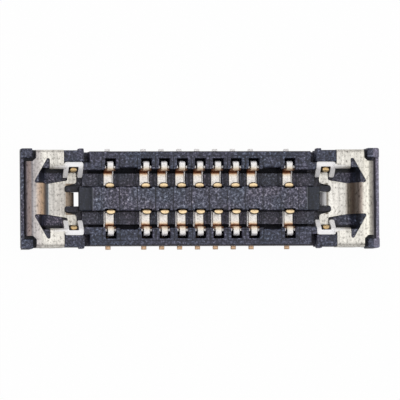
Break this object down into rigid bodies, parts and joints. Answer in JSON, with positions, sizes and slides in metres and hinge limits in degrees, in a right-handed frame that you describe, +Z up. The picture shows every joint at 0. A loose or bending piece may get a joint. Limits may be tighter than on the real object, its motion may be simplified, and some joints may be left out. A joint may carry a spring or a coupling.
{
  "type": "fpc connector",
  "caption": "Low board-to-board receptacle for a flexible circuit: a moulded housing with two rows of formed contacts and a stamped power fitting over each end.",
  "frame": {"origin": "centre of the object on the solder plane, where the tails and tabs meet the board", "axes": "+X along the contact rows, +Y across the rows, +Z up from the board to the mating side"},
  "size_m": [0.007, 0.002, 0.0006],
  "materials": {
    "housing_plastic": "fine glass-filled moulding, dark blue-black",
    "fitting_metal": "satin nickel with a warm gold tint on the bends",
    "contact_metal": "gold-plated copper alloy, satin"
  },
  "bodies": {
    "root": {"housing": "housing_plastic", "end_fitting_left": "fitting_metal", "end_fitting_right": "fitting_metal", "contact_front_1": "contact_metal", "contact_front_2": "contact_metal", "contact_front_3": "contact_metal", "contact_front_4": "contact_metal", "contact_front_5": "contact_metal", "contact_front_6": "contact_metal", "contact_front_7": "contact_metal", "contact_front_8": "contact_metal", "contact_front_9": "contact_metal", "contact_back_1": "contact_metal", "contact_back_2": "contact_metal", "contact_back_3": "contact_metal", "contact_back_4": "contact_metal", "contact_back_5": "contact_metal", "contact_back_6": "contact_metal", "contact_back_7": "contact_metal", "contact_back_8": "contact_metal", "contact_back_9": "contact_metal"}
  },
  "joints": []
}
